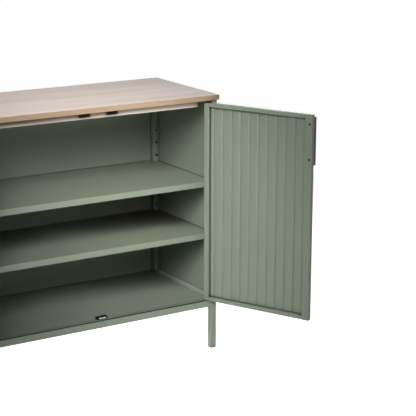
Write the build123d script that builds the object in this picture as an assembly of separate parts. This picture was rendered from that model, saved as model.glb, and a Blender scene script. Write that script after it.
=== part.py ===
from build123d import *

import math
import os

# Two-door steel sideboard with a wooden top, drawn with both doors swung open.
# All sizes are in millimetres. While drawing, X = 0 is the middle of the cabinet,
# Y = 0 is the front of the posts with +Y to the back, and Z = 0 is the floor.

# Wooden top and heights
TOP_WIDTH = 800.0
TOP_DEPTH = 380.0
TOP_THICKNESS = 16.0
TOP_OVERHANG = 5.0
TOP_EDGE_ROUND = 1.0
LEG_CLEARANCE = 138.0
OPENING_HEIGHT = 634.0

# Welded frame of square tube
POST_SIDE = 20.0
TUBE_WALL = 1.5
TUBE_CORNER = 2.5
BOTTOM_RAIL_HEIGHT = 22.0
TOP_RAIL_HEIGHT = 20.0
GLIDE_HEIGHT = 3.0
GLIDE_PLUG = 12.0
GLIDE_FIT = 0.1
GLIDE_INSET = 0.5

# Sheet panels
SHEET = 1.0
SIDE_FLANGE = 6.0
SIDE_PANEL_GAP = 2.0
FLOOR_LIP = 15.0
BACK_MARGIN = 2.0

# Shelves, and the rows of holes that carry them
SHELF_LIP = 18.0
SHELF_RETURN = 10.0
SHELF_BEND = 1.5
SHELF_SIDE_GAP = 2.0
SHELF_FRONT_GAP = 6.0
SHELF_BACK_GAP = 2.0
SHELF_POST_GAP = 1.5
SHELF_SEAT = 0.05
HOLE_PITCH = 41.5
HOLE_COUNT = 10
LOWEST_HOLE = 108.0
LOWER_SHELF_HOLE = 2
UPPER_SHELF_HOLE = 6
SHELF_PIN_RADIUS = 2.5
SHELF_PIN_FIT = 0.1
SHELF_PIN_IN_POST = 8.0
SHELF_PIN_REACH = 12.0

# Doors
DOOR_THICKNESS = 15.0
DOOR_WALL = 1.2
DOOR_CORNER = 2.0
DOOR_TOP_GAP = 6.0
DOOR_BOTTOM_GAP = 2.0
DOOR_MEETING_GAP = 2.0
HINGE_STILE = 18.0
FREE_STILE = 24.5
DOOR_RAIL = 13.0
OPEN_ANGLE = 115.5

# Pressed panel of each door
PANEL_SHEET = 1.0
PANEL_SETBACK = 3.0
RIB_PITCH = 31.25
RIB_WIDTH = 8.0
RIB_DEPTH = 3.0
RIB_MARGIN = 1.0

# Door pivots
PIN_RADIUS = 2.5
PIN_FROM_EDGE = 8.0
PIN_FROM_FACE = 5.0
PIN_FIT = 0.05
PIN_REACH = 14.0
BUSH_WALL = 0.95
BUSH_LENGTH = 18.0
BUSH_FIT = 0.05
SWING_CLEARANCE = 1.3
WASHER_RADIUS = 6.0
WASHER_PLAY = 0.3
PLATE_LENGTH = 30.0
PLATE_WIDTH = 18.0
PLATE_THICKNESS = 2.5
PLATE_GAP = 1.0

# Door handles
HANDLE_LENGTH = 143.0
HANDLE_FROM_TOP = 10.0
HANDLE_BASE = 18.0
HANDLE_REACH = 12.0
HANDLE_LIP = 9.0
HANDLE_SHEET = 2.0
HANDLE_BEND = 1.0
HANDLE_SCREW_SPACING = 105.0
HANDLE_SCREW_INSET = 8.5
HANDLE_SCREW_TIP = 0.4
ACCESS_RADIUS = 3.6

# Batten under the top, and the magnetic catches
BATTEN_END_GAP = 35.0
BATTEN_DEPTH = 16.0
BATTEN_HEIGHT = 21.0
CATCH_WIDTH = 34.0
CATCH_HEIGHT = 14.0
CATCH_THICKNESS = 7.0
CATCH_FROM_MIDDLE = 45.0
CATCH_TOP_GAP = 0.3
CATCH_PLAY = 0.5
CATCH_ROUND = 1.0
KEEPER_WIDTH = 20.0
KEEPER_HEIGHT = 6.0
KEEPER_THICKNESS = 1.0

# Screws
SCREW_RADIUS = 1.75
SCREW_HEAD_RADIUS = 3.2
SCREW_HEAD = 1.0
SCREW_FIT = 0.1
SCREW_IN_WOOD = 10.0
SCREW_IN_POST = 5.0
BACK_SCREW_COUNT = 3
BACK_SCREW_MARGIN = 40.0
RAIL_SCREW_MARGIN = 70.0
BATTEN_SCREW_NEAR = 120.0
BATTEN_SCREW_FAR = 40.0
PLATE_SCREW_FIRST = 6.0
PLATE_SCREW_STEP = 8.0

# Sides of small round features, which are drawn as prisms to keep the model light
HOLE_SIDES = 12
SCREW_SIDES = 8
BUSH_SIDES = 16

# Planes that the pieces share
half_width = TOP_WIDTH / 2 - TOP_OVERHANG
post_inside = half_width - POST_SIDE
post_middle = half_width - POST_SIDE / 2
frame_back = TOP_DEPTH - TOP_OVERHANG - SHEET - SCREW_HEAD
back_post_front = frame_back - POST_SIDE
rail_top = LEG_CLEARANCE + BOTTOM_RAIL_HEIGHT
top_under = rail_top + OPENING_HEIGHT
top_rail_under = top_under - TOP_RAIL_HEIGHT

# The door edge stands off the post far enough for its corner to swing past
corner_run = math.hypot(PIN_FROM_EDGE - DOOR_CORNER, PIN_FROM_FACE - DOOR_CORNER)
hinge_edge = post_inside - (corner_run + DOOR_CORNER + SWING_CLEARANCE - PIN_FROM_EDGE)
free_edge = DOOR_MEETING_GAP / 2
door_bottom = rail_top + DOOR_BOTTOM_GAP
door_top = top_under - DOOR_TOP_GAP
pivot_x = hinge_edge - PIN_FROM_EDGE
pivot_y = PIN_FROM_FACE
panel_left = free_edge + FREE_STILE
panel_right = hinge_edge - HINGE_STILE

catch_front = DOOR_THICKNESS + CATCH_PLAY
batten_front = catch_front + CATCH_THICKNESS
batten_middle = batten_front + BATTEN_DEPTH / 2
batten_under = top_under - BATTEN_HEIGHT
plate_right = post_inside - PLATE_GAP
plate_left = plate_right - PLATE_LENGTH

nodes = {}


def block(x0, x1, y0, y1, z0, z1):
    """Box between two limits on each axis."""
    middle = Pos((x0 + x1) / 2, (y0 + y1) / 2, (z0 + z1) / 2)
    return middle * Box(x1 - x0, y1 - y0, z1 - z0)


def rod(radius, start, end):
    """Straight round rod between two points that differ along one axis."""
    path = Line(start, end)
    return extrude(Plane(origin=start, z_dir=path % 0) * Circle(radius), path.length)


def prism(radius, start, end, sides, hole=False):
    """Many-sided stand-in for a small rod, or for a hole that clears such a radius."""
    path = Line(start, end)
    section = RegularPolygon(radius, sides, major_radius=not hole)
    return extrude(Plane(origin=start, z_dir=path % 0) * section, path.length)


def tube_section(width, height, wall, corner):
    """Closed rectangular tube section with rounded outer corners."""
    return RectangleRounded(width, height, corner) - Rectangle(width - 2 * wall, height - 2 * wall)


def upright_tube(x0, x1, y0, y1, z0, z1, wall, corner):
    """Tube that stands along Z."""
    section = tube_section(x1 - x0, y1 - y0, wall, corner)
    return Pos((x0 + x1) / 2, (y0 + y1) / 2, z0) * extrude(section, z1 - z0)


def cross_tube(x0, x1, y0, y1, z0, z1, wall, corner):
    """Tube that lies along X."""
    section = Plane.YZ * tube_section(y1 - y0, z1 - z0, wall, corner)
    return Pos(x0, (y0 + y1) / 2, (z0 + z1) / 2) * extrude(section, x1 - x0)


def depth_tube(x0, x1, y0, y1, z0, z1, wall, corner):
    """Tube that lies along Y."""
    section = Plane.XZ * tube_section(x1 - x0, z1 - z0, wall, corner)
    return Pos((x0 + x1) / 2, y1, (z0 + z1) / 2) * extrude(section, y1 - y0)


def mirrored(shape):
    """The same piece on the left half of the cabinet."""
    return mirror(shape, about=Plane.YZ)


def swung_open(shape):
    """A right door piece, turned about the pivot to its open position."""
    return Pos(pivot_x, pivot_y, 0) * Rot(0, 0, OPEN_ANGLE) * Pos(-pivot_x, -pivot_y, 0) * shape


def add_pair(name, shape):
    """Adds a right piece of the carcass and its mirrored left twin."""
    nodes["right_" + name] = shape
    nodes["left_" + name] = mirrored(shape)


# Screw places: across the posts for the back, along Y for the side rails, along X for the batten,
# where the near screw is measured from the middle and the far one from the end
back_screw_low = LEG_CLEARANCE + BACK_SCREW_MARGIN
back_screw_high = top_under - BACK_SCREW_MARGIN
back_screw_step = (back_screw_high - back_screw_low) / (BACK_SCREW_COUNT - 1)
back_screw_z = [back_screw_low + back_screw_step * index for index in range(BACK_SCREW_COUNT)]
rail_screw_y = [POST_SIDE + RAIL_SCREW_MARGIN, back_post_front - RAIL_SCREW_MARGIN]
batten_half = post_inside - BATTEN_END_GAP
batten_screw_x = [BATTEN_SCREW_NEAR, batten_half - BATTEN_SCREW_FAR]
plate_screw_x = [plate_left + PLATE_SCREW_FIRST, plate_left + PLATE_SCREW_FIRST + PLATE_SCREW_STEP]
plate_middle_y = PLATE_GAP + PLATE_WIDTH / 2
screw_hole = SCREW_RADIUS + SCREW_FIT
hole_z = [rail_top + LOWEST_HOLE + HOLE_PITCH * index for index in range(HOLE_COUNT)]


def upward_screw(x, y, seat):
    """Screw from below, with its head under the seat and its tip in the wooden top."""
    head = prism(SCREW_HEAD_RADIUS, (x, y, seat - SCREW_HEAD), (x, y, seat), SCREW_SIDES)
    shank = prism(SCREW_RADIUS, (x, y, seat), (x, y, top_under + SCREW_IN_WOOD), SCREW_SIDES)
    return head + shank


# Wooden top, with pilot holes for every screw that comes up from below
pilot_places = [(post_middle, y) for y in rail_screw_y]
pilot_places += [(x, batten_middle) for x in batten_screw_x]
pilot_places += [(x, plate_middle_y) for x in plate_screw_x]
pilots = []
for x, y in pilot_places:
    pilot_end = top_under + SCREW_IN_WOOD + SCREW_FIT
    pilot = prism(screw_hole, (x, y, top_under), (x, y, pilot_end), SCREW_SIDES, hole=True)
    pilots += [pilot, mirrored(pilot)]
board = block(
    -TOP_WIDTH / 2, TOP_WIDTH / 2, -TOP_OVERHANG, TOP_DEPTH - TOP_OVERHANG,
    top_under, top_under + TOP_THICKNESS
)
board = fillet(board.faces().sort_by(Axis.Z)[-1].edges(), TOP_EDGE_ROUND)
nodes["wood_top"] = board - pilots

# Posts, with a row of shelf holes in the wall that faces the inside
front_post = upright_tube(
    post_inside, half_width, 0, POST_SIDE, GLIDE_HEIGHT, top_under, TUBE_WALL, TUBE_CORNER
)
back_post = upright_tube(
    post_inside, half_width, back_post_front, frame_back, GLIDE_HEIGHT, top_under, TUBE_WALL, TUBE_CORNER
)
pin_hole = SHELF_PIN_RADIUS + SHELF_PIN_FIT
front_holes = []
back_holes = []
for z in hole_z:
    wall_start = POST_SIDE - 2 * TUBE_WALL
    front_start = (post_middle, wall_start, z)
    front_holes.append(prism(pin_hole, front_start, (post_middle, POST_SIDE, z), HOLE_SIDES, hole=True))
    back_start = (post_middle, back_post_front, z)
    back_end = (post_middle, back_post_front + 2 * TUBE_WALL, z)
    back_holes.append(prism(pin_hole, back_start, back_end, HOLE_SIDES, hole=True))
for z in back_screw_z:
    screw_start = (post_middle, frame_back - 2 * TUBE_WALL, z)
    screw_end = (post_middle, frame_back, z)
    back_holes.append(prism(screw_hole, screw_start, screw_end, SCREW_SIDES, hole=True))
add_pair("front_post", front_post - front_holes)
add_pair("back_post", back_post - back_holes)

# Plastic glides that plug the feet of the posts
plug_side = POST_SIDE - 2 * TUBE_WALL - 2 * GLIDE_FIT
sole_side = POST_SIDE - 2 * GLIDE_INSET
sole_corner = TUBE_CORNER - GLIDE_INSET
glides = []
for y in (POST_SIDE / 2, frame_back - POST_SIDE / 2):
    sole = extrude(Rectangle(sole_side, sole_side), GLIDE_HEIGHT)
    sole = chamfer(sole.edges().filter_by(Axis.Z), sole_corner)
    plug = extrude(Rectangle(plug_side, plug_side), GLIDE_HEIGHT + GLIDE_PLUG)
    glide = Pos(post_middle, y, 0) * (sole + plug)
    glides += [glide, mirrored(glide)]
nodes["foot_glides"] = Compound(children=glides)

# Bottom rails, the front one with a hole for each lower pivot pin
front_rail = cross_tube(
    -post_inside, post_inside, 0, POST_SIDE, LEG_CLEARANCE, rail_top, TUBE_WALL, TUBE_CORNER
)
pivot_hole_start = (pivot_x, pivot_y, rail_top - 2 * TUBE_WALL)
pivot_hole = prism(
    PIN_RADIUS + PIN_FIT, pivot_hole_start, (pivot_x, pivot_y, rail_top), BUSH_SIDES, hole=True
)
nodes["bottom_front_rail"] = front_rail - [pivot_hole, mirrored(pivot_hole)]
nodes["bottom_back_rail"] = cross_tube(
    -post_inside, post_inside, back_post_front, frame_back, LEG_CLEARANCE, rail_top, TUBE_WALL, TUBE_CORNER
)
add_pair("bottom_side_rail", depth_tube(
    post_inside, half_width, POST_SIDE, back_post_front, LEG_CLEARANCE, rail_top, TUBE_WALL, TUBE_CORNER
))

# Top rails, the side ones drilled for the screws that hold the wooden top
nodes["top_back_rail"] = cross_tube(
    -post_inside, post_inside, back_post_front, frame_back, top_rail_under, top_under, TUBE_WALL, TUBE_CORNER
)
side_rail = depth_tube(
    post_inside, half_width, POST_SIDE, back_post_front, top_rail_under, top_under, TUBE_WALL, TUBE_CORNER
)
rail_holes = []
for y in rail_screw_y:
    rail_start = (post_middle, y, top_rail_under)
    rail_end = (post_middle, y, top_under)
    rail_holes.append(prism(screw_hole, rail_start, rail_end, SCREW_SIDES, hole=True))
add_pair("top_side_rail", side_rail - rail_holes)

# Side panels: shallow trays between the rails, flush with the outside, with a narrow gap at each post
side_front = POST_SIDE + SIDE_PANEL_GAP
side_back = back_post_front - SIDE_PANEL_GAP
side_tray = block(
    half_width - SIDE_FLANGE, half_width, side_front, side_back, rail_top, top_rail_under
)
side_hollow = block(
    half_width - SIDE_FLANGE, half_width - SHEET, side_front + SHEET, side_back - SHEET,
    rail_top + SHEET, top_rail_under - SHEET
)
add_pair("side_panel", side_tray - side_hollow)

# Back panel, screwed to the back posts
back_sheet = block(
    -half_width + BACK_MARGIN, half_width - BACK_MARGIN, frame_back, frame_back + SHEET,
    LEG_CLEARANCE + BACK_MARGIN, top_under - BACK_MARGIN
)
sheet_holes = []
back_screws = []
for z in back_screw_z:
    seat = (post_middle, frame_back + SHEET, z)
    tip = (post_middle, frame_back - SCREW_IN_POST, z)
    head_end = (post_middle, frame_back + SHEET + SCREW_HEAD, z)
    sheet_hole = prism(screw_hole, (post_middle, frame_back, z), seat, SCREW_SIDES, hole=True)
    shank = prism(SCREW_RADIUS, tip, seat, SCREW_SIDES)
    head = prism(SCREW_HEAD_RADIUS, seat, head_end, SCREW_SIDES)
    sheet_holes += [sheet_hole, mirrored(sheet_hole)]
    back_screws += [shank + head, mirrored(shank + head)]
nodes["back_panel"] = back_sheet - sheet_holes
nodes["back_panel_screws"] = Compound(children=back_screws)

# Floor: a tray let in flush between the bottom rails
floor_tray = block(
    -post_inside, post_inside, POST_SIDE, back_post_front, rail_top - FLOOR_LIP, rail_top
)
floor_hollow = block(
    -post_inside + SHEET, post_inside - SHEET, POST_SIDE + SHEET, back_post_front - SHEET,
    rail_top - FLOOR_LIP, rail_top - SHEET
)
nodes["floor_panel"] = floor_tray - floor_hollow

# Shelves: folded trays, notched round the back posts and the edges of the side panels,
# and resting on four pins each
shelf_half = half_width - SHEET - SHELF_SIDE_GAP
shelf_front = POST_SIDE + SHELF_FRONT_GAP
shelf_back = frame_back - SHELF_BACK_GAP
notch_x = post_inside - SHELF_POST_GAP
notch_y = side_back - SHEET - SHELF_POST_GAP


def shelf_outline(inset):
    """Plan of a shelf, drawn inside its edge by the inset."""
    corners = [
        (-shelf_half + inset, shelf_front + inset),
        (shelf_half - inset, shelf_front + inset),
        (shelf_half - inset, notch_y - inset),
        (notch_x - inset, notch_y - inset),
        (notch_x - inset, shelf_back - inset),
        (-notch_x + inset, shelf_back - inset),
        (-notch_x + inset, notch_y - inset),
        (-shelf_half + inset, notch_y - inset),
    ]
    return make_face(Polyline(*corners, close=True))


def shelf(underside):
    """Shelf tray with folded lips, and a stiffening return at the front and the back."""
    tray = extrude(shelf_outline(0), SHELF_LIP)
    front_bend = tray.edges().filter_by(Axis.X).group_by(Axis.Z)[-1].sort_by(Axis.Y)[0]
    tray = fillet(front_bend, SHELF_BEND)
    tray -= extrude(shelf_outline(SHEET), SHELF_LIP - SHEET)
    front_return = block(
        -shelf_half + SHEET, shelf_half - SHEET, shelf_front + SHEET, shelf_front + SHELF_RETURN, 0, SHEET
    )
    back_return = block(
        -notch_x + SHEET, notch_x - SHEET, shelf_back - SHELF_RETURN, shelf_back - SHEET, 0, SHEET
    )
    return Pos(0, 0, underside) * (tray + front_return + back_return)


def shelf_pins(z):
    """Four round pins that stand out of the posts under one shelf."""
    front_pin = prism(
        SHELF_PIN_RADIUS, (post_middle, POST_SIDE - SHELF_PIN_IN_POST, z),
        (post_middle, POST_SIDE + SHELF_PIN_REACH, z), HOLE_SIDES
    )
    back_pin = prism(
        SHELF_PIN_RADIUS, (post_middle, back_post_front - SHELF_PIN_REACH, z),
        (post_middle, back_post_front + SHELF_PIN_IN_POST, z), HOLE_SIDES
    )
    return Compound(children=[front_pin, mirrored(front_pin), back_pin, mirrored(back_pin)])


# Holes are counted from the lowest, which is hole 0
for name, hole in (("upper_shelf", UPPER_SHELF_HOLE), ("lower_shelf", LOWER_SHELF_HOLE)):
    pin_z = hole_z[int(hole)]
    nodes[name] = shelf(pin_z + SHELF_PIN_RADIUS + SHELF_SEAT)
    nodes[name + "_pins"] = shelf_pins(pin_z)

# Batten under the top, which the door catches are fixed to
batten = block(
    -batten_half, batten_half, batten_front, batten_front + BATTEN_DEPTH, batten_under, top_under
)
batten_holes = []
batten_screws = []
for x in batten_screw_x:
    batten_start = (x, batten_middle, batten_under)
    batten_hole = prism(screw_hole, batten_start, (x, batten_middle, top_under), SCREW_SIDES, hole=True)
    batten_screw = upward_screw(x, batten_middle, batten_under)
    batten_holes += [batten_hole, mirrored(batten_hole)]
    batten_screws += [batten_screw, mirrored(batten_screw)]
nodes["door_stop_batten"] = batten - batten_holes
nodes["batten_screws"] = Compound(children=batten_screws)

# Screws through the side rails into the wooden top
top_screws = []
for y in rail_screw_y:
    top_screw = upward_screw(post_middle, y, top_rail_under)
    top_screws += [top_screw, mirrored(top_screw)]
nodes["top_fixing_screws"] = Compound(children=top_screws)

# Magnetic catches: a housing drawn lying on its back, with a steel keeper let into its face
housing = extrude(Rectangle(CATCH_WIDTH, CATCH_HEIGHT), CATCH_THICKNESS)
housing = fillet(housing.edges().filter_by(Axis.Z), CATCH_ROUND)
keeper = Pos(0, 0, CATCH_THICKNESS - KEEPER_THICKNESS) * extrude(
    Rectangle(KEEPER_WIDTH, KEEPER_HEIGHT), KEEPER_THICKNESS
)
housing -= keeper
catch_middle_z = top_under - CATCH_TOP_GAP - CATCH_HEIGHT / 2
top_catch_place = Pos(CATCH_FROM_MIDDLE, batten_front, catch_middle_z) * Rot(90, 0, 0)
add_pair("top_catch", top_catch_place * housing)
add_pair("top_catch_keeper", top_catch_place * keeper)
floor_catch_place = Pos(0, catch_front + CATCH_HEIGHT / 2, rail_top)
nodes["floor_catch"] = floor_catch_place * housing
nodes["floor_catch_keeper"] = floor_catch_place * keeper

# Upper pivots: a plate under the top that holds a pin pointing down
plate_under = top_under - PLATE_THICKNESS
plate = block(plate_left, plate_right, PLATE_GAP, PLATE_GAP + PLATE_WIDTH, plate_under, top_under)
plate_pin_hole = prism(
    PIN_RADIUS + PIN_FIT, (pivot_x, pivot_y, plate_under), (pivot_x, pivot_y, top_under),
    BUSH_SIDES, hole=True
)
plate_holes = [plate_pin_hole]
plate_screws = []
for x in plate_screw_x:
    plate_start = (x, plate_middle_y, plate_under)
    plate_end = (x, plate_middle_y, top_under)
    plate_holes.append(prism(screw_hole, plate_start, plate_end, SCREW_SIDES, hole=True))
    plate_screw = upward_screw(x, plate_middle_y, plate_under)
    plate_screws += [plate_screw, mirrored(plate_screw)]
add_pair("pivot_plate", plate - plate_holes)
nodes["pivot_plate_screws"] = Compound(children=plate_screws)
add_pair("upper_pivot_pin", rod(
    PIN_RADIUS, (pivot_x, pivot_y, door_top - PIN_REACH), (pivot_x, pivot_y, top_under)
))

# Lower pivots: a pin that stands in the front rail, with a washer to carry the door
add_pair("lower_pivot_pin", rod(
    PIN_RADIUS, (pivot_x, pivot_y, LEG_CLEARANCE + TUBE_WALL), (pivot_x, pivot_y, door_bottom + PIN_REACH)
))
washer_top = door_bottom - WASHER_PLAY
washer_start = (pivot_x, pivot_y, rail_top)
washer_end = (pivot_x, pivot_y, washer_top)
washer = prism(WASHER_RADIUS, washer_start, washer_end, BUSH_SIDES)
washer -= prism(PIN_RADIUS + PIN_FIT, washer_start, washer_end, BUSH_SIDES, hole=True)
nodes["pivot_washers"] = Compound(children=[washer, mirrored(washer)])

# Right door, drawn closed: two stiles of box section with capped ends, and two rails between them
door = {}
handle_middle = door_top - HANDLE_FROM_TOP - HANDLE_LENGTH / 2
handle_screw_x = free_edge + HANDLE_SCREW_INSET
handle_screw_z = [handle_middle - HANDLE_SCREW_SPACING / 2, handle_middle + HANDLE_SCREW_SPACING / 2]
bush_radius = PIN_RADIUS + PIN_FIT + BUSH_WALL


def door_stile(x0, x1):
    """Full-height box section, closed at both ends."""
    stile = upright_tube(x0, x1, 0, DOOR_THICKNESS, door_bottom, door_top, DOOR_WALL, DOOR_CORNER)
    cap = extrude(RectangleRounded(x1 - x0, DOOR_THICKNESS, DOOR_CORNER), DOOR_WALL)
    for z in (door_bottom, door_top - DOOR_WALL):
        stile += Pos((x0 + x1) / 2, DOOR_THICKNESS / 2, z) * cap
    return stile


bush_holes = []
for z in (door_bottom, door_top - DOOR_WALL):
    bush_start = (pivot_x, pivot_y, z)
    bush_end = (pivot_x, pivot_y, z + DOOR_WALL)
    bush_holes.append(prism(bush_radius + BUSH_FIT, bush_start, bush_end, BUSH_SIDES))
door["hinge_stile"] = door_stile(hinge_edge - HINGE_STILE, hinge_edge) - bush_holes
inner_wall = DOOR_THICKNESS - DOOR_WALL
screw_openings = []
for z in handle_screw_z:
    shank_end = (handle_screw_x, DOOR_WALL, z)
    screw_openings.append(prism(screw_hole, (handle_screw_x, 0, z), shank_end, SCREW_SIDES, hole=True))
    access_end = (handle_screw_x, DOOR_THICKNESS, z)
    screw_openings.append(prism(ACCESS_RADIUS, (handle_screw_x, inner_wall, z), access_end, BUSH_SIDES))
door["free_stile"] = door_stile(free_edge, free_edge + FREE_STILE) - screw_openings
for name, z in (("top_rail", door_top - DOOR_RAIL), ("bottom_rail", door_bottom)):
    door[name] = cross_tube(
        panel_left, panel_right, 0, DOOR_THICKNESS, z, z + DOOR_RAIL, DOOR_WALL, DOOR_CORNER
    )

# Pressed panel: a flat field with upright V ribs that come out level with the door face
door_middle = (hinge_edge + free_edge) / 2
rib_room = min(door_middle - panel_left, panel_right - door_middle) - RIB_WIDTH / 2 - RIB_MARGIN
ribs_each_side = int(rib_room / RIB_PITCH)
rib_line = [(panel_left, 0)]
for index in range(-ribs_each_side, ribs_each_side + 1):
    rib_x = door_middle + RIB_PITCH * index
    rib_line += [(rib_x - RIB_WIDTH / 2, 0), (rib_x, -RIB_DEPTH), (rib_x + RIB_WIDTH / 2, 0)]
rib_line.append((panel_right, 0))
outside_line = [(x, PANEL_SETBACK + y) for x, y in rib_line]
inside_line = [(x, y + PANEL_SHEET) for x, y in reversed(outside_line)]
panel_section = make_face(Polyline(*outside_line, *inside_line, close=True))
panel_height = door_top - door_bottom - 2 * DOOR_RAIL
door["ribbed_panel"] = Pos(0, 0, door_bottom + DOOR_RAIL) * extrude(panel_section, panel_height)

# Handle: a bent strip along the free edge that hooks the fingers from behind
handle_line = [
    (free_edge + HANDLE_BASE, 0),
    (free_edge + HANDLE_BASE, -HANDLE_SHEET),
    (free_edge + HANDLE_SHEET, -HANDLE_SHEET),
    (free_edge + HANDLE_SHEET, -HANDLE_REACH + HANDLE_SHEET),
    (free_edge + HANDLE_LIP, -HANDLE_REACH + HANDLE_SHEET),
    (free_edge + HANDLE_LIP, -HANDLE_REACH),
    (free_edge, -HANDLE_REACH),
    (free_edge, 0),
]
handle_section = make_face(Polyline(*handle_line, close=True))
bend_corners = handle_section.vertices()
inner_bends = [v for v in bend_corners if abs(v.X - free_edge - HANDLE_SHEET) < HANDLE_BEND / 2]
handle_section = fillet(inner_bends, HANDLE_BEND)
outer_bends = [v for v in handle_section.vertices() if abs(v.X - free_edge) < HANDLE_BEND / 2]
handle_section = fillet(outer_bends, HANDLE_BEND + HANDLE_SHEET / 2)
handle_bottom = handle_middle - HANDLE_LENGTH / 2
handle = Pos(0, 0, handle_bottom) * extrude(handle_section, HANDLE_LENGTH)
handle_tip = -HANDLE_SHEET + HANDLE_SCREW_TIP
handle_screws = []
for z in handle_screw_z:
    seat = (handle_screw_x, DOOR_WALL, z)
    head_end = (handle_screw_x, DOOR_WALL + 2 * SCREW_HEAD, z)
    handle_hole_start = (handle_screw_x, -HANDLE_SHEET, z)
    handle -= prism(screw_hole, handle_hole_start, (handle_screw_x, 0, z), SCREW_SIDES, hole=True)
    shank = prism(SCREW_RADIUS, (handle_screw_x, handle_tip, z), seat, SCREW_SIDES)
    head = prism(SCREW_HEAD_RADIUS, seat, head_end, SCREW_SIDES)
    handle_screws.append(shank + head)
door["handle"] = handle
door["handle_screws"] = Compound(children=handle_screws)

# Pivot bushes in the ends of the hinge stile
for name, z in (("lower_bush", door_bottom), ("upper_bush", door_top - BUSH_LENGTH)):
    bush_start = (pivot_x, pivot_y, z)
    bush_end = (pivot_x, pivot_y, z + BUSH_LENGTH)
    bush = prism(bush_radius, bush_start, bush_end, BUSH_SIDES)
    door[name] = bush - rod(PIN_RADIUS + PIN_FIT, bush_start, bush_end)

for name, shape in door.items():
    add_pair("door_" + name, swung_open(shape))

# The kept origin is on the floor under the middle of the open cabinet
boxes = [shape.bounding_box() for shape in nodes.values()]
origin_y = (min(box.min.Y for box in boxes) + max(box.max.Y for box in boxes)) / 2
to_origin = Pos(0, -origin_y, 0)

os.makedirs("parts", exist_ok=True)
for name, shape in nodes.items():
    export_step(to_origin * shape, "parts/" + name + ".step")

print("nodes", len(nodes))
print("origin lies", round(origin_y, 4), "behind the post fronts")
print("right pivot at", round(pivot_x, 4), round(pivot_y - origin_y, 4))
print("hinge edge", round(hinge_edge, 4), "door width", round(hinge_edge - free_edge, 4))
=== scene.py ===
"""Looks of the two-door steel sideboard: finishes, small fittings, light and camera round the solids."""

import math

import bmesh
import bpy
from mathutils import Matrix, Vector


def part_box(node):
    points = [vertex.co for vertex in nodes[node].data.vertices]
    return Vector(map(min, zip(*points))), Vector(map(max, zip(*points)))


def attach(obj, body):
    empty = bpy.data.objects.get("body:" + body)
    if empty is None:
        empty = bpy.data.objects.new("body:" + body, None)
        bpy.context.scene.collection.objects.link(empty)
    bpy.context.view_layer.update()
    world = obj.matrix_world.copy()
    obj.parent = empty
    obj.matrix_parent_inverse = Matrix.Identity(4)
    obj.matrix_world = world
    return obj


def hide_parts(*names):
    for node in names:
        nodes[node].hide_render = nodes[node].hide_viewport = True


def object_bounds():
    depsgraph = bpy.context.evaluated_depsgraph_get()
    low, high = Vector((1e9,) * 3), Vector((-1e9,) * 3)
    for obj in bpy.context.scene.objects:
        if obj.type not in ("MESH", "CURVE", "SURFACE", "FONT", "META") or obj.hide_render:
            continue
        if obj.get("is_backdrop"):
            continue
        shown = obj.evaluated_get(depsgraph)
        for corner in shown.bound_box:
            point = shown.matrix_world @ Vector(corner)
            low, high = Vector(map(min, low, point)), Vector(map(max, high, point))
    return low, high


# Camera, fitted to the photograph: place in metres, turn to the right, tilt down and roll in degrees
CAMERA_PLACE = (-1.8253, -3.5325, 1.5262)
CAMERA_YAW = 31.955
CAMERA_PITCH = 14.469
CAMERA_ROLL = 0.121
CAMERA_LENS = 120.1
CAMERA_FAR = 100.0

# Light: places, aims and sizes in metres, spread of the beam in degrees, power in watts
LIGHTS = {
    "door_light": {"place": (-2.3, -2.1, 2.75), "aim": (0.5, -0.2, 0.45), "size": 0.5, "spread": 20.0,
                   "power": 1.05, "tint": (0.98, 1.0, 0.98)},
    "near_light": {"place": (-0.5, -0.9, 1.18), "aim": (0.12, 0.08, 0.43), "size": 0.7, "spread": 39.0,
                   "power": 2.2, "tint": (1.0, 0.93, 0.94)},
    "fill_light": {"place": (1.4, -2.4, 1.5), "aim": (0.0, 0.0, 0.45), "size": 1.2, "spread": 60.0,
                   "power": 0.14, "tint": (1.0, 0.98, 0.97)},
    "low_light": {"place": (0.1, -1.1, 0.12), "aim": (0.16, 0.0, 0.79), "size": 0.4, "spread": 26.0,
                  "power": 0.37, "tint": (1.0, 0.99, 0.96)},
    "top_light": {"place": (0.1, 0.4, 2.4), "aim": (0.0, 0.16, 0.8), "size": 0.8, "spread": 60.0,
                  "power": 2.1, "tint": (1.0, 1.0, 1.0)},
    "right_back_light": {"place": (2.3, 1.8, 0.8), "aim": (0.15, 0.15, 0.45), "size": 0.8, "spread": 60.0,
                         "power": 8.0, "tint": (1.0, 1.0, 1.0)},
    "left_back_light": {"place": (-2.3, 1.8, 0.8), "aim": (-0.15, 0.15, 0.45), "size": 0.8, "spread": 60.0,
                        "power": 8.0, "tint": (1.0, 1.0, 1.0)},
}
AMBIENT = 0.05
FLOOR_SIDE = 24.0
FLOOR_COLOUR = (0.82, 0.82, 0.82, 1.0)
FLOOR_LIFT = 0.955
WHITE = (1.0, 1.0, 1.0, 1.0)

# Angle that both doors stand open at, in degrees
DOOR_OPEN = 115.5

# Rounding of the edges: lengths in metres, angles in degrees
WELD_DISTANCE = 1e-5
FLAT_ANGLE = 0.5
EDGE_ANGLE = 35.0
EDGE_STEPS = 2
EDGE_ROUND = 0.0005
SHEET_ROUND = 0.0002
SMALL_ROUND = SHEET_ROUND / 2
SHEET_NODES = ("panel", "keeper", "washers", "plate")

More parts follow.
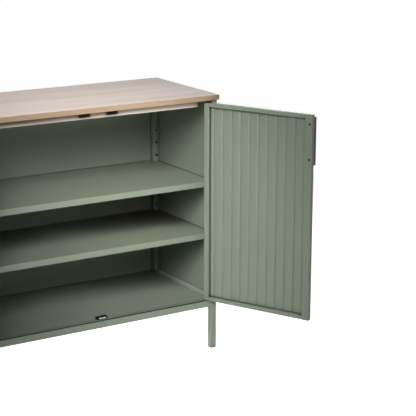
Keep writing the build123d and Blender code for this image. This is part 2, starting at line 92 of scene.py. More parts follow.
# Painted shade: ambient occlusion darkens creases and corners, standing in for the shade that falls there;
# reach in metres, rays, the open share where the shade is darkest and where it ends, and the share of the
# colour that is left
CREASE = {"reach": 0.006, "rays": 8, "shut": 0.5, "open": 0.88, "left": (0.2, 0.18, 0.16, 1.0)}
RIB_CREASE = {"reach": 0.006, "rays": 8, "shut": 0.5, "open": 0.88, "left": (0.42, 0.4, 0.38, 1.0)}
# The door frame's painted shade is deep and wide, for the shadow on its inner walls beside the panel
FRAME_CREASE = {"reach": 0.016, "rays": 8, "shut": 0.5, "open": 0.97, "left": (0.06, 0.06, 0.05, 1.0)}
# The board's painted shade, under the top, stands in for the top's shadow on it
BOARD_CREASE = {"reach": 0.035, "rays": 16, "shut": 0.66, "open": 0.91, "left": (0.24, 0.19, 0.15, 1.0)}
# The corners' painted shade reaches far and is brown, for the deep shade at the back of the cabinet
CORNER = {"reach": 0.35, "rays": 32, "shut": 0.06, "open": 0.17, "left": (0.25, 0.2, 0.17, 1.0)}

# Painted highlight along the edges of the paint, paler where the rounded normal turns from the flat one:
# reach in metres, rays, how alike the rounded and the flat normal are where the highlight is brightest and
# where it ends, and the share of the highlight's tone that flat paint keeps
EDGE_HIGHLIGHT = {"reach": 0.0016, "rays": 4, "brightest": 0.8, "whole": 0.985, "left": (0.76, 0.76, 0.76, 1.0)}

# Colours of the finishes as displayed, from 0 to 255, each from its deepest to its palest
SAGE = ((131, 142, 125), (136, 147, 130))
# The trim's sage drawn paler than the rest: painted light, as the strip looks where light catches it
LIT_TRIM_SAGE = ((138, 149, 132), (144, 155, 138))
# The handle's sage drawn dark grey: painted shade, as the handle looks where it stands in shade
SHADED_HANDLE_SAGE = ((46, 48, 44), (54, 56, 51))
COAT_BLACK = ((11, 11, 11), (16, 16, 16))
MOULDING_BLACK = ((13, 13, 13), (20, 20, 20))
CREAM = ((236, 228, 216), (244, 238, 228))
STEEL = ((190, 190, 192), (214, 214, 216))
ZINC = ((168, 169, 166), (196, 197, 193))
WHITE_ZINC = ((226, 227, 229), (240, 240, 242))
OAK_FACE = ((175, 161, 149), (196, 185, 175), (206, 196, 187))
OAK_EDGE = ((136, 109, 84), (161, 136, 111), (176, 154, 129))
PORE_TONES = ((0.86, 0.86, 0.86, 1.0), WHITE)

# Where a pattern has its deepest and its palest colour
TONE_ENDS = (0.3, 0.7)
SPECK_ENDS = (0.35, 0.65)
PORE_ENDS = (0.30, 0.42)
OAK_STOPS = (0.28, 0.5, 0.72)

# Patterns of the finishes: scale, detail, roughness and stretch of each noise
PAINT_DRIFT = (3.5, 3.0)
PAINT_PATCH = (45.0, 2.0)
PAINT_PEEL = (620.0, 2.0, 0.6)
OAK_FIBRE = (5.0, 7.0, 0.62, (2.4, 75.0, 75.0))
OAK_BROAD = (2.2, 3.0, 0.5, (0.7, 9.0, 9.0))
OAK_PORES = (4.0, 3.0, 0.7, (14.0, 420.0, 420.0))
BOARD_STREAK = (4.0, 4.0, 0.6, (2.0, 60.0, 60.0))
PLASTIC_SPECK = (900.0, 2.0)
DRAWN_LINES = (260.0, 3.0, 0.6, (0.1, 1.0, 1.0))
PLATED_LINES = (260.0, 3.0, 0.6, (1.0, 1.0, 1.0))

# Figure of the oak: stretch, wave, its share beside the fibre, and the share of their sum that is the grain
FIGURE_STRETCH = (0.55, 6.0, 6.0)
FIGURE_WAVE = {"Scale": 2.6, "Distortion": 5.0, "Detail": 3.0, "Detail Scale": 1.1}
FIGURE_SHARE = 0.34
GRAIN_SHARE = 0.43

# Upright part of the normal above which the oak is a face and not an edge
FACE_UPRIGHT = 0.6

# Gloss, and roughness from its lowest to its highest
PAINT_GLOSS = 0.5
HANDLE_GLOSS = 0.3
BLACK_GLOSS = 0.06
PLASTIC_GLOSS = 0.15
OAK_GLOSS = 0.3
PAINT_ROUGH = (0.42, 0.54)
PLASTIC_ROUGH = (0.34, 0.5)
STEEL_ROUGH = (0.22, 0.36)
ZINC_ROUGH = (0.28, 0.42)
WHITE_ZINC_ROUGH = (0.4, 0.5)
WHITE_ZINC_METALLIC = 0.15
OAK_ROUGH = 0.62
BOARD_ROUGH = 0.55

# Bump of the finishes: strength, and height in metres
PAINT_BUMP = (0.18, 0.0004)
OAK_BUMP = (0.12, 0.0003)
BOARD_BUMP = (0.06, 0.0003)
PLASTIC_BUMP = (0.1, 0.0002)
STEEL_BUMP = (0.08, 0.0001)

# Sockets of a Mix node that blends colours
MIX_FIRST = 6
MIX_SECOND = 7
MIX_RESULT = 2

# Screws and shelf pins: lengths in metres, and a screw head's outline in shares of its radius and height
ROUND_SIDES = 24
SCREW_SHANK = 0.00175
SCREW_POINT = 0.6
SCREW_HEAD = 0.0032
SCREW_HEAD_HEIGHT = 0.001
SCREW_HEAD_OUTLINE = ((1, 0), (1, 0.35), (0.94, 0.65), (0.78, 0.88), (0.5, 1), (0, 1))
HANDLE_SCREW_HEAD = 0.0052
HANDLE_SCREW_HEAD_HEIGHT = 0.002
CROSS_LENGTH = 0.0036
CROSS_WIDTH = 0.0008
CROSS_DEPTH = 0.00065
CROSS_TAPER = 0.8
PIN_COLLAR = 0.0036
PIN_COLLAR_WIDTH = 0.0012
PIN_IN_POST = 0.008
PIN_CHAMFER = 0.2

# Slots in the back posts, in metres
SLOT_WIDTH = 0.0105
SLOT_HEIGHT = 0.0065
SLOT_DEPTH = 0.003

# Catches and the plates of the floor catch, in metres
CATCH_CORNER = 0.001
CORNER_STEPS = 4
CATCH_SCREW_SPACING = 0.027
CATCH_SCREW_SCALE = 0.66
CATCH_BORE = 0.0023
CATCH_BORE_DEPTH = 0.0018
FLOOR_PLATE = (0.02, 0.009, 0.001)
POLE_PLATE = (0.023, 0.0042, 0.001)
POLE_PROUD = 0.0002
PLATE_RIVET = 0.0011
PLATE_RIVET_DEPTH = 0.0004

# Trim strips on the side rails: outline as distances from the panel and heights above the rail, in metres
TRIM_OUTLINE = (
    (0.0003, 0.0), (0.0003, 0.009), (0.0014, 0.009), (0.007, 0.0032), (0.0075, 0.0014), (0.0082, 0.0014),
    (0.0088, 0.0028), (0.0128, 0.0008), (0.0128, 0.0),
)
TRIM_GAP = 0.004

# Buffer strip on the front rail, black, which paints the shadow line at the rail's front: outline as
# distances from its front and heights above it, in metres
BUFFER_OUTLINE = (
    (0.0003, 0.0), (0.0003, 0.0011), (0.0008, 0.0015), (0.0038, 0.0015), (0.0043, 0.0011), (0.0043, 0.0),
)
BUFFER_END = 0.025

# Seals beside the side panels, black strips that close the gaps and also paint their shadow: depth in
# metres, and the share of it that the grooved middle has
SEAL_DEPTH = 0.002
SEAL_WAIST = 0.6

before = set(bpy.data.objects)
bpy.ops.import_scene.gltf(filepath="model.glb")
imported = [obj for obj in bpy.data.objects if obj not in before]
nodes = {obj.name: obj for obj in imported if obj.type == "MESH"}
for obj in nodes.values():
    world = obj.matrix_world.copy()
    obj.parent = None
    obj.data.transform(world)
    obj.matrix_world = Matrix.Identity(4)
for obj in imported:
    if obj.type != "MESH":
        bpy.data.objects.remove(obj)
cad_low, cad_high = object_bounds()
scene = bpy.context.scene
scene.view_settings.view_transform = "Standard"


def colour(red, green, blue):
    """Linear colour from 0 to 255 display values."""
    linear = []
    for value in (red, green, blue):
        share = value / 255
        linear.append(share / 12.92 if share <= 0.04045 else ((share + 0.055) / 1.055) ** 2.4)
    return (*linear, 1.0)


def colours(shades):
    """Linear colours of several display colours."""
    return [colour(*shade) for shade in shades]


def add_node(tree, kind, inputs=None, **settings):
    """One shader node, with its settings and its inputs set or linked."""
    made = tree.nodes.new("ShaderNode" + kind)
    for key, value in settings.items():
        setattr(made, key, value)
    for socket, value in (inputs or {}).items():
        if isinstance(value, bpy.types.NodeSocket):
            tree.links.new(value, made.inputs[socket])
        else:
            made.inputs[socket].default_value = value
    return made


def add_ramp(tree, factor, places, shades):
    """Colour ramp through shades at places from 0 to 1."""
    made = add_node(tree, "ValToRGB", {"Fac": factor})
    ramp = made.color_ramp
    while len(ramp.elements) < len(places):
        ramp.elements.new(0.5)
    for element, place, shade in zip(ramp.elements, places, shades):
        element.position = place
        element.color = shade
    return made.outputs["Color"]


def add_noise(tree, place, scale, detail, roughness=0.5, stretch=None):
    """Noise value, on coordinates that may be stretched first."""
    if stretch:
        place = add_node(tree, "Mapping", {"Vector": place, "Scale": stretch}).outputs["Vector"]
    inputs = {"Vector": place, "Scale": scale, "Detail": detail, "Roughness": roughness}
    return add_node(tree, "TexNoise", inputs).outputs["Fac"]


def calculate(tree, operation, *values):
    """Result of a Math node."""
    return add_node(tree, "Math", dict(enumerate(values)), operation=operation).outputs["Value"]


def multiply(tree, first, second):
    """Product of two colours."""
    parts = {"Factor": 1.0, MIX_FIRST: first, MIX_SECOND: second}
    return add_node(tree, "Mix", parts, data_type="RGBA", blend_type="MULTIPLY").outputs[MIX_RESULT]


def add_range(tree, value, low, high):
    """The value from 0 to 1, carried to the range from low to high."""
    return add_node(tree, "MapRange", {"Value": value, "To Min": low, "To Max": high}).outputs["Result"]


def new_finish(name, **settings):
    """Empty principled material, with its constant sockets set."""
    material = bpy.data.materials.new(name)
    material.use_nodes = True
    tree = material.node_tree
    shader = tree.nodes["Principled BSDF"]
    for socket, value in settings.items():
        shader.inputs[socket.replace("_", " ")].default_value = value
    place = add_node(tree, "TexCoord").outputs["Object"]
    return material, tree, shader, place


def set_bump(tree, shader, height, strength, distance):
    """Bump from a height value."""
    inputs = {"Height": height, "Strength": strength, "Distance": distance}
    bump = add_node(tree, "Bump", inputs)
    tree.links.new(bump.outputs["Normal"], shader.inputs["Normal"])


def add_painted_shade(tree, coat, shade_setting):
    """The colour, darkened by painted shade in its creases and corners, from ambient occlusion."""
    reach = {"Distance": shade_setting["reach"]}
    open_share = add_node(tree, "AmbientOcclusion", reach, samples=shade_setting["rays"]).outputs["AO"]
    shade = add_ramp(tree, open_share, (shade_setting["shut"], shade_setting["open"]), (shade_setting["left"], WHITE))
    return multiply(tree, coat, shade)


def powder_coat(name, shades, crease=CREASE, gloss=PAINT_GLOSS):
    """Satin powder coat: slow drift in tone, painted shade in creases and corners, painted highlights along
    edges, and fine orange peel.
    """
    material, tree, shader, place = new_finish(name, Specular_IOR_Level=gloss)
    drift = add_noise(tree, place, *PAINT_DRIFT)
    # The paint's colours lifted to the tone of the painted highlight on its edges
    brightest = [tuple(value / share for value, share in zip(shade, EDGE_HIGHLIGHT["left"])) for shade in colours(shades)]
    coat = add_ramp(tree, drift, TONE_ENDS, brightest)
    # Painted shade in the creases and in the deep corners
    for shade_setting in (crease, CORNER):
        coat = add_painted_shade(tree, coat, shade_setting)
    # Painted highlight on edges: the flat paint is brought back down, and the edges stay pale
    rounded = add_node(tree, "Bevel", {"Radius": EDGE_HIGHLIGHT["reach"]}, samples=EDGE_HIGHLIGHT["rays"]).outputs["Normal"]
    flat = add_node(tree, "NewGeometry").outputs["Normal"]
    likeness = add_node(tree, "VectorMath", {0: rounded, 1: flat}, operation="DOT_PRODUCT").outputs["Value"]
    whole = add_ramp(tree, likeness, (EDGE_HIGHLIGHT["brightest"], EDGE_HIGHLIGHT["whole"]), (WHITE, EDGE_HIGHLIGHT["left"]))
    tree.links.new(multiply(tree, coat, whole), shader.inputs["Base Color"])
    patch = add_noise(tree, place, *PAINT_PATCH)
    tree.links.new(add_range(tree, patch, *PAINT_ROUGH), shader.inputs["Roughness"])
    peel = add_noise(tree, place, *PAINT_PEEL)
    set_bump(tree, shader, peel, *PAINT_BUMP)
    return material


def oak(name):
    """Pale oak decor on the faces and a tan edge band round them, with the grain along X."""
    material, tree, shader, place = new_finish(name, Roughness=OAK_ROUGH, Specular_IOR_Level=OAK_GLOSS)
    fibre = add_noise(tree, place, *OAK_FIBRE)
    broad = add_noise(tree, place, *OAK_BROAD)
    pores = add_noise(tree, place, *OAK_PORES)
    bent = add_node(tree, "Mapping", {"Vector": place, "Scale": FIGURE_STRETCH}).outputs["Vector"]
    figure = add_node(tree, "TexWave", {"Vector": bent, **FIGURE_WAVE}, bands_direction="Y").outputs["Fac"]
    figure = calculate(tree, "MULTIPLY", figure, FIGURE_SHARE)
    grain = calculate(tree, "ADD", calculate(tree, "ADD", fibre, broad), figure)
    grain = calculate(tree, "MULTIPLY", grain, GRAIN_SHARE)
    face = add_ramp(tree, grain, OAK_STOPS, colours(OAK_FACE))
    edge = add_ramp(tree, grain, OAK_STOPS, colours(OAK_EDGE))
    facing = add_node(tree, "TexCoord").outputs["Normal"]
    upright = add_node(tree, "SeparateXYZ", {"Vector": facing}).outputs["Z"]
    is_face = calculate(tree, "GREATER_THAN", calculate(tree, "ABSOLUTE", upright), FACE_UPRIGHT)
    parts = {"Factor": is_face, MIX_FIRST: edge, MIX_SECOND: face}
    wood = add_node(tree, "Mix", parts, data_type="RGBA").outputs[MIX_RESULT]
    wood = multiply(tree, wood, add_ramp(tree, pores, PORE_ENDS, PORE_TONES))
    tree.links.new(wood, shader.inputs["Base Color"])
    set_bump(tree, shader, fibre, *OAK_BUMP)
    return material


def melamine(name, shades):
    """Matt board with a faint lengthwise grain, and painted shade in its corners."""
    material, tree, shader, place = new_finish(name, Roughness=BOARD_ROUGH)
    streak = add_noise(tree, place, *BOARD_STREAK)
    board = add_painted_shade(tree, add_ramp(tree, streak, TONE_ENDS, colours(shades)), BOARD_CREASE)
    tree.links.new(board, shader.inputs["Base Color"])
    set_bump(tree, shader, streak, *BOARD_BUMP)
    return material


def plastic(name, shades):
    """Moulded plastic with a fine spark-eroded texture."""
    material, tree, shader, place = new_finish(name, Specular_IOR_Level=PLASTIC_GLOSS)
    speck = add_noise(tree, place, *PLASTIC_SPECK)
    tree.links.new(add_ramp(tree, speck, SPECK_ENDS, colours(shades)), shader.inputs["Base Color"])
    tree.links.new(add_range(tree, speck, *PLASTIC_ROUGH), shader.inputs["Roughness"])
    set_bump(tree, shader, speck, *PLASTIC_BUMP)
    return material


def metal(name, shades, rough, lines, metallic=1.0):
    """Plated or bare steel with fine lines, less metallic where the plating is matt and white."""
    material, tree, shader, place = new_finish(name, Metallic=metallic)
    line = add_noise(tree, place, *lines)
    tree.links.new(add_ramp(tree, line, TONE_ENDS, colours(shades)), shader.inputs["Base Color"])
    tree.links.new(add_range(tree, line, *rough), shader.inputs["Roughness"])
    set_bump(tree, shader, line, *STEEL_BUMP)
    return material


# Finish of each material slot
finishes = {
    "sage_powder_coat": powder_coat("sage_paint", SAGE),
    "oak_laminate": oak("oak_top"),
    "cream_batten": melamine("cream_board", CREAM),
    "black_plastic": plastic("black_moulding", MOULDING_BLACK),
    "black_steel": powder_coat("black_coat", COAT_BLACK, gloss=BLACK_GLOSS),
    "bare_steel": metal("bright_steel", STEEL, STEEL_ROUGH, DRAWN_LINES),
    "zinc_steel": metal("zinc_plate", ZINC, ZINC_ROUGH, PLATED_LINES),
}

# Finishes that single nodes and pieces take in place of their slot's own one
# Copies of the sage paint with weaker or stronger painted shade in their creases
ribbed_paint = powder_coat("ribbed_paint", SAGE, RIB_CREASE)
frame_paint = powder_coat("door_frame_paint", SAGE, FRAME_CREASE)
lit_trim_paint = powder_coat("lit_trim_paint", LIT_TRIM_SAGE, RIB_CREASE)
# The handle's paint is a darker copy of the sage, painted shade
shaded_handle_paint = powder_coat("shaded_handle_paint", SHADED_HANDLE_SAGE, gloss=HANDLE_GLOSS)
white_zinc = metal("white_zinc", WHITE_ZINC, WHITE_ZINC_ROUGH, DRAWN_LINES, WHITE_ZINC_METALLIC)
own_finishes = {}
for side in ("right", "left"):
    own_finishes[side + "_door_ribbed_panel"] = ribbed_paint
    for tube in ("hinge_stile", "free_stile", "top_rail", "bottom_rail"):
        own_finishes[f"{side}_door_{tube}"] = frame_paint
    own_finishes[side + "_door_handle"] = shaded_handle_paint
    for part in ("top_catch_keeper", "pivot_plate", "upper_pivot_pin"):
        own_finishes[f"{side}_{part}"] = finishes["black_steel"]


def round_edges(thing, width):
    """Joins the split corners of a mesh, and rounds its sharp edges."""
    weld = thing.modifiers.new("join", "WELD")
    weld.merge_threshold = WELD_DISTANCE
    flat = thing.modifiers.new("flat", "DECIMATE")
    flat.decimate_type = "DISSOLVE"
    flat.angle_limit = math.radians(FLAT_ANGLE)
    bevel = thing.modifiers.new("round", "BEVEL")
    bevel.width = width
    bevel.segments = EDGE_STEPS
    bevel.limit_method = "ANGLE"
    bevel.angle_limit = math.radians(EDGE_ANGLE)
    bevel.harden_normals = True


for name, solid in nodes.items():
    slot = solid.material_slots[0]
    slot.material = own_finishes.get(name, finishes[slot.name])
    is_sheet = any(word in name for word in SHEET_NODES)
    round_edges(solid, SHEET_ROUND if is_sheet else EDGE_ROUND)


def add_piece(name, mesh, body, slot, *stands_for):
    """Puts a finished mesh in the scene, on its body, in its finish and in the place of solids."""
    piece = bpy.data.objects.new(name, mesh)
    scene.collection.objects.link(piece)
    mesh.materials.clear()
    mesh.materials.append(finishes[slot])
    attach(piece, body)
    if stands_for:
        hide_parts(*stands_for)
    return piece


def solids_of(name):
    """Corner points of each separate solid in a CAD node."""
    mesh = bmesh.new()
    mesh.from_mesh(nodes[name].data)
    bmesh.ops.remove_doubles(mesh, verts=mesh.verts, dist=WELD_DISTANCE)
    seen = set()
    solids = []
    for start in mesh.verts:
        if start in seen:
            continue
        seen.add(start)
        reached = [start]
        for vert in reached:
            for edge in vert.link_edges:
                other = edge.other_vert(vert)
                if other not in seen:
                    seen.add(other)
                    reached.append(other)
        solids.append([vert.co.copy() for vert in reached])
    mesh.free()
    return solids


def lathe(profile, sides=ROUND_SIDES):
    """Closed round mesh about Z, from (radius, height) points that start and end on the axis."""
    mesh = bmesh.new()
    rings = []
    for radius, height in profile:
        if radius == 0:
            rings.append([mesh.verts.new((0, 0, height))])
            continue
        ring = []
        for index in range(sides):
            angle = 2 * math.pi * index / sides
            ring.append(mesh.verts.new((radius * math.cos(angle), radius * math.sin(angle), height)))
        rings.append(ring)
    for first, second in zip(rings, rings[1:]):
        for index in range(sides):
            after = (index + 1) % sides
            corners = [first[index % len(first)], first[after % len(first)]]
            corners += [second[after % len(second)], second[index % len(second)]]
            mesh.faces.new(list(dict.fromkeys(corners)))
    bmesh.ops.recalc_face_normals(mesh, faces=mesh.faces)
    return to_mesh(mesh)


def box_mesh(size, middle=(0, 0, 0), taper=1.0):
    """Box about a middle point, whose lower face may be smaller than its upper face."""
    mesh = bmesh.new()
    made = bmesh.ops.create_cube(mesh, size=1.0)
    for vert in made["verts"]:
        share = taper if vert.co.z < 0 else 1.0
        vert.co = Vector((vert.co.x * size[0] * share, vert.co.y * size[1] * share, vert.co.z * size[2]))
        vert.co += Vector(middle)
    return mesh


def bar(outline, axis, start, end):
    """Closed bar along an axis from 0 to 2, with an outline in the other two coordinates."""
    mesh = bmesh.new()
    rings = []
    for along in (start, end):
        corners = [(*point[:axis], along, *point[axis:]) for point in outline]
        rings.append([mesh.verts.new(corner) for corner in corners])
    first, second = rings
    mesh.faces.new(first)
    mesh.faces.new(second)
    for index in range(len(outline)):
        after = (index + 1) % len(outline)
        mesh.faces.new([first[index], first[after], second[after], second[index]])
    bmesh.ops.recalc_face_normals(mesh, faces=mesh.faces)
    return to_mesh(mesh)


def rounded_block(size, middle=(0, 0, 0)):
    """Box with its upright corners rounded."""
    block = box_mesh(size, middle)
    upright = [edge for edge in block.edges if abs(edge.verts[0].co.z - edge.verts[1].co.z) > size[2] / 2]
    bmesh.ops.bevel(
        block, geom=upright, offset=CATCH_CORNER, segments=CORNER_STEPS, affect="EDGES", profile=0.5,
    )
    return to_mesh(block)


def bore_cutter(radius, face, depth):
    """Round cutter about Z that goes to a depth below a face, and as far above it."""
    return lathe([(0, face - depth), (radius, face - depth), (radius, face + depth), (0, face + depth)])


def to_mesh(source):
    """Turns a bmesh into a mesh, and frees it."""
    mesh = bpy.data.meshes.new("detail")
    source.to_mesh(mesh)
    source.free()
    return mesh


def cut(mesh, cutters):
    """The mesh with the cutters taken away."""
    body = bpy.data.objects.new("body_to_cut", mesh)
    scene.collection.objects.link(body)
    tools = []
    for cutter in cutters:
        tool = bpy.data.objects.new("cutter", cutter)
        scene.collection.objects.link(tool)
        step = body.modifiers.new("cut", "BOOLEAN")
        step.operation = "DIFFERENCE"
        step.solver = "EXACT"
        step.object = tool
        tools.append(tool)
    done = bpy.data.meshes.new_from_object(body.evaluated_get(bpy.context.evaluated_depsgraph_get()))
    for thing in [body, *tools]:
        bpy.data.objects.remove(thing)
    return done


def gather(copies):
    """One mesh out of (mesh, matrix) copies."""
    whole = bmesh.new()
    for mesh, matrix in copies:
        placed = mesh.copy()
        placed.transform(matrix)
        whole.from_mesh(placed)
        bpy.data.meshes.remove(placed)
    return to_mesh(whole)


def smooth(piece, width):
    """Rounds the sharp edges of a piece and shades the rest smooth."""
    for face in piece.data.polygons:
        face.use_smooth = True
    round_edges(piece, width)


def screw(length, head_height, head=SCREW_HEAD):
    """Cross-recess screw with its seat at the origin and its head on the +Z side."""
    profile = [
        (0, -length), (SCREW_POINT * SCREW_SHANK, -length + SCREW_SHANK),
        (SCREW_SHANK, -length + 2 * SCREW_SHANK), (SCREW_SHANK, 0),
    ]
    profile += [(out * head, up * head_height) for out, up in SCREW_HEAD_OUTLINE]
    cutters = []
    for width, depth in ((CROSS_LENGTH, CROSS_WIDTH), (CROSS_WIDTH, CROSS_LENGTH)):
        cutters.append(to_mesh(box_mesh((width, depth, 2 * CROSS_DEPTH), (0, 0, head_height), CROSS_TAPER)))
    return cut(lathe(profile), cutters)


def place_along(origin, axis):
    """Matrix that puts the origin at a point and +Z along an axis."""
    return Matrix.Translation(origin) @ Vector(axis).to_track_quat("Z", "Y").to_matrix().to_4x4()


def add_screws(node, body, slot, axis, head_height, head=SCREW_HEAD):
    """Detailed screws in the place of each plain screw of a CAD node, with their heads towards the axis."""
    copies = []
    axis = Vector(axis)
    for points in solids_of(node):
        middle = sum(points, Vector()) / len(points)
        along = [(point - middle).dot(axis) for point in points]
        seat = middle + axis * (max(along) - head_height)
        length = max(along) - min(along) - head_height
        copies.append((screw(length, head_height, head), place_along(seat, axis)))
    smooth(add_piece(node + "_crossed", gather(copies), body, slot, node), SMALL_ROUND)


# Screws: those of the handles have their heads on the inside of the doors
door_angle = math.radians(DOOR_OPEN)
inward = Vector((-math.sin(door_angle), math.cos(door_angle), 0))
inward_left = Vector((-inward.x, inward.y, 0))
add_screws("back_panel_screws", "cabinet", "zinc_steel", (0, 1, 0), SCREW_HEAD_HEIGHT)
for node in ("batten_screws", "top_fixing_screws", "pivot_plate_screws"):
    slot = "black_steel" if node == "pivot_plate_screws" else "zinc_steel"
    add_screws(node, "cabinet", slot, (0, 0, -1), SCREW_HEAD_HEIGHT)
for side, facing in (("right", inward), ("left", inward_left)):
    node = side + "_door_handle_screws"
    add_screws(node, side + "_door", "black_steel", facing, HANDLE_SCREW_HEAD_HEIGHT, HANDLE_SCREW_HEAD)


def joined(name):
    """Copy of a CAD node's mesh with its split corners joined."""
    mesh = bmesh.new()
    mesh.from_mesh(nodes[name].data)
    bmesh.ops.remove_doubles(mesh, verts=mesh.verts, dist=WELD_DISTANCE)
    return to_mesh(mesh)


# Back posts: the row of shelf holes opened to slots
for name in ("right_back_post", "left_back_post"):
    low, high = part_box(name)
    middle_x = (low.x + high.x) / 2
    rims = []
    for vert in nodes[name].data.vertices:
        if abs(vert.co.y - low.y) < WELD_DISTANCE and abs(vert.co.x - middle_x) < SLOT_WIDTH / 2:
            rims.append(vert.co.z)
    rims.sort()
    breaks = [(below, above) for below, above in zip(rims, rims[1:]) if above - below > SLOT_WIDTH]
    starts = [rims[0]] + [above for below, above in breaks]
    ends = [below for below, above in breaks] + [rims[-1]]
    slots = []
    for start, end in zip(starts, ends):
        slot = to_mesh(box_mesh((SLOT_WIDTH, SLOT_DEPTH, SLOT_HEIGHT)))
        slots.append((slot, Matrix.Translation((middle_x, low.y, (start + end) / 2))))
    slotted = cut(joined(name), [gather(slots)])
    post = add_piece(name + "_slotted", slotted, "cabinet", "sage_powder_coat", name)
    round_edges(post, SHEET_ROUND)

# Shelf pins: turned pins with a collar that rests on the post
for node in ("upper_shelf_pins", "lower_shelf_pins"):
    copies = []
    for points in solids_of(node):
        front = min(point.y for point in points)
        back = max(point.y for point in points)
        reach = back - front
        left = min(point.x for point in points)
        right = max(point.x for point in points)
        bottom = min(point.z for point in points)
        top = max(point.z for point in points)
        radius = (top - bottom) / 2
        chamfer = PIN_CHAMFER * radius
        collar_end = PIN_IN_POST + PIN_COLLAR_WIDTH
        profile = [
            (0, 0), (radius - chamfer, 0), (radius, chamfer), (radius, PIN_IN_POST),
            (PIN_COLLAR, PIN_IN_POST), (PIN_COLLAR, collar_end), (radius, collar_end),
            (radius, reach - chamfer), (radius - chamfer, reach), (0, reach),
        ]
        stands_in_front = front < (cad_low.y + cad_high.y) / 2
        start = ((left + right) / 2, front if stands_in_front else back, (bottom + top) / 2)
        copies.append((lathe(profile), place_along(start, (0, 1 if stands_in_front else -1, 0))))
    smooth(add_piece(node + "_turned", gather(copies), "cabinet", "zinc_steel", node), SHEET_ROUND)


def catch_housing(width, height, depth, keeper_size):
    """Moulded housing on its back, with a pocket for the steel plate and a bore for a screw at each end."""
    block = rounded_block((width, height, depth), (0, 0, depth / 2))
    cutters = [to_mesh(box_mesh(keeper_size, (0, 0, depth - keeper_size[2] / 2 + WELD_DISTANCE)))]
    for side in (-1, 1):
        bore = bore_cutter(CATCH_BORE, depth, CATCH_BORE_DEPTH)
        bore.transform(Matrix.Translation((side * CATCH_SCREW_SPACING / 2, 0, 0)))
        cutters.append(bore)
    return cut(block, cutters)


def steel_plate(size):
    """Steel plate with rounded corners and a rivet at its middle."""
    return cut(rounded_block(size), [bore_cutter(PLATE_RIVET, size[2] / 2, PLATE_RIVET_DEPTH)])


# Quarter turn that puts what points up to the front
to_front = Matrix.Rotation(math.radians(90), 4, "X")

# Magnetic catches: housings with screw bores in the place of the plain ones, and the screws in them
for name in ("right_top_catch", "left_top_catch", "floor_catch"):
    low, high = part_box(name)
    keeper_low, keeper_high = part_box(name + "_keeper")
    size = high - low
    keeper_size = keeper_high - keeper_low
    middle = (low + high) / 2
    if name == "floor_catch":
        stand = Matrix.Translation((middle.x, middle.y, low.z))
        housing = catch_housing(size.x, size.y, size.z, FLOOR_PLATE)
        depth = size.z
    else:
        stand = Matrix.Translation((middle.x, high.y, middle.z)) @ to_front
        housing = catch_housing(size.x, size.z, size.y, (keeper_size.x, keeper_size.z, keeper_size.y))
        depth = size.y
    housing.transform(stand)
    smooth(add_piece(name + "_housing", housing, "cabinet", "black_plastic", name), EDGE_ROUND)
    heads = []
    for side in (-1, 1):
        seat = Matrix.Translation((side * CATCH_SCREW_SPACING / 2, 0, depth - CATCH_BORE_DEPTH))
        scale = Matrix.Scale(CATCH_SCREW_SCALE, 4)
        heads.append((screw(SCREW_HEAD_HEIGHT, SCREW_HEAD_HEIGHT), stand @ seat @ scale))
    smooth(add_piece(name + "_screws", gather(heads), "cabinet", "black_steel"), SMALL_ROUND)

# Plates of the floor catch: one in its top, and the pole plate in its front, towards the closed doors
low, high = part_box("floor_catch_keeper")
plate = steel_plate(FLOOR_PLATE)
plate.transform(Matrix.Translation((*((low + high) / 2).xy, high.z - FLOOR_PLATE[2] / 2)))
smooth(add_piece("floor_catch_plate", plate, "cabinet", "black_steel", "floor_catch_keeper"), SHEET_ROUND)
low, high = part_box("floor_catch")
middle = (low + high) / 2
plate = steel_plate(POLE_PLATE)
stand = Matrix.Translation((middle.x, low.y - POLE_PROUD + POLE_PLATE[2] / 2, middle.z))
plate.transform(stand @ to_front)
pole_plate = add_piece("floor_catch_pole_plate", plate, "cabinet", "bare_steel")
plate.materials[0] = white_zinc
smooth(pole_plate, SHEET_ROUND)

# Trim strips: a folded strip on each bottom side rail, between the floor and the side panel
for side, outward in (("right", 1), ("left", -1)):
    rail_low, rail_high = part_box(side + "_bottom_side_rail")
    panel_low, panel_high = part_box(side + "_side_panel")
    wall = panel_low.x if outward > 0 else panel_high.x
    outline = [(wall - outward * across, rail_high.z + up) for across, up in TRIM_OUTLINE]
    strip = bar(outline, 1, rail_low.y + TRIM_GAP, rail_high.y - TRIM_GAP)
    piece = add_piece(side + "_floor_trim", strip, "cabinet", "sage_powder_coat")
    # The trim takes the paler copy of the paint, painted light
    strip.materials[0] = lit_trim_paint
    round_edges(piece, SHEET_ROUND)

# Buffer: a thin black rubber strip along the front of the bottom rail, under the doors, put there as painted
# shadow: its black is the shadow line at the rail's front edge
low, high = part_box("bottom_front_rail")
outline = [(low.y + back, high.z + up) for back, up in BUFFER_OUTLINE]
strip = bar(outline, 0, low.x + BUFFER_END, high.x - BUFFER_END)
smooth(add_piece("front_rail_shade_buffer", strip, "cabinet", "black_plastic"), SMALL_ROUND)

# Seals: a grooved black rubber strip in the gap at the front and back of each side panel, which closes the
# gap and, being black, paints its shadow line
for side in ("right", "left"):
    low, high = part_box(side + "_side_panel")
    rail_low, rail_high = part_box(side + "_bottom_side_rail")
    middle_x = (low.x + high.x) / 2
    edge = SEAL_DEPTH / 2
    waist = SEAL_WAIST * edge
    strips = []
    for front, back in ((rail_low.y, low.y), (high.y, rail_high.y)):
        middle_y = (front + back) / 2
        outline = [
            (middle_x - edge, front), (middle_x - waist, middle_y), (middle_x - edge, back),
            (middle_x + edge, back), (middle_x + waist, middle_y), (middle_x + edge, front),
        ]
        strips.append((bar(outline, 2, low.z, high.z), Matrix.Identity(4)))
    smooth(add_piece(side + "_panel_shade_seals", gather(strips), "cabinet", "black_plastic"), SMALL_ROUND)

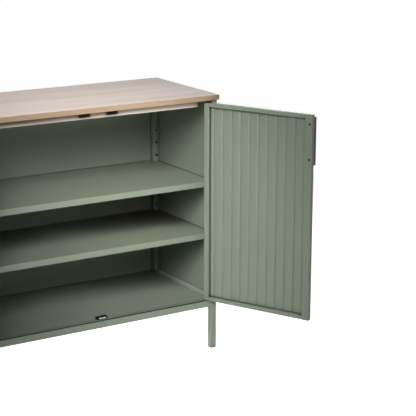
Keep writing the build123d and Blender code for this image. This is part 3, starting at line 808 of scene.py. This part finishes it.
# Camera
yaw = math.radians(CAMERA_YAW)
pitch = math.radians(CAMERA_PITCH)
roll = math.radians(CAMERA_ROLL)
forward = Vector((math.sin(yaw) * math.cos(pitch), math.cos(yaw) * math.cos(pitch), -math.sin(pitch)))
level_right = Vector((math.cos(yaw), -math.sin(yaw), 0.0))
level_up = level_right.cross(forward)
camera_right = level_right * math.cos(roll) + level_up * math.sin(roll)
camera_up = level_up * math.cos(roll) - level_right * math.sin(roll)
camera = bpy.data.objects.new("camera", bpy.data.cameras.new("camera"))
camera.data.lens = CAMERA_LENS
camera.data.clip_end = CAMERA_FAR
turn = Matrix((camera_right, camera_up, -forward)).transposed()
camera.matrix_world = Matrix.Translation(CAMERA_PLACE) @ turn.to_4x4()
scene.collection.objects.link(camera)
scene.camera = camera

# Lights
for name, setting in LIGHTS.items():
    lamp = bpy.data.lights.new(name, "AREA")
    lamp.shape = "SQUARE"
    lamp.size = setting["size"]
    lamp.spread = math.radians(setting["spread"])
    lamp.energy = setting["power"]
    lamp.color = setting["tint"]
    holder = bpy.data.objects.new(name, lamp)
    holder.location = setting["place"]
    holder.rotation_mode = "QUATERNION"
    holder.rotation_quaternion = (holder.location - Vector(setting["aim"])).to_track_quat("Z", "Y")
    holder.visible_camera = False
    scene.collection.objects.link(holder)


def seen_directly(tree):
    """1 for rays from the camera and for mirrored or refracted views, and 0 for rays that only light."""
    path = add_node(tree, "LightPath")
    seen = path.outputs["Is Camera Ray"]
    for kind in ("Is Glossy Ray", "Is Transmission Ray"):
        seen = calculate(tree, "MAXIMUM", seen, path.outputs[kind])
    return seen


# World: white where it is seen, and a soft even light elsewhere
world = bpy.data.worlds.new("studio")
world.use_nodes = True
scene.world = world
sky = world.node_tree
background = sky.nodes["Background"]
background.inputs["Color"].default_value = WHITE
sky.links.new(add_range(sky, seen_directly(sky), AMBIENT, 1.0), background.inputs["Strength"])

# Floor: pale, lifted to white where it is seen, and still shaded by the cabinet
floor_mesh = bpy.data.meshes.new("floor")
half = FLOOR_SIDE / 2
floor_corners = [(-half, -half, 0), (half, -half, 0), (half, half, 0), (-half, half, 0)]
floor_mesh.from_pydata(floor_corners, [], [(0, 1, 2, 3)])
floor = bpy.data.objects.new("floor", floor_mesh)
scene.collection.objects.link(floor)
floor_finish = bpy.data.materials.new("floor_white")
floor_finish.use_nodes = True
floor_tree = floor_finish.node_tree
floor_tree.nodes.remove(floor_tree.nodes["Principled BSDF"])
matt = add_node(floor_tree, "BsdfDiffuse", {"Color": FLOOR_COLOUR})
glow_strength = add_range(floor_tree, seen_directly(floor_tree), 0.0, FLOOR_LIFT)
glow = add_node(floor_tree, "Emission", {"Strength": glow_strength})
both = add_node(floor_tree, "AddShader", {0: matt.outputs["BSDF"], 1: glow.outputs["Emission"]})
floor_tree.links.new(both.outputs["Shader"], floor_tree.nodes["Material Output"].inputs["Surface"])
floor_mesh.materials.append(floor_finish)
floor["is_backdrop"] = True

# Bounds of the finished object
low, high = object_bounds()
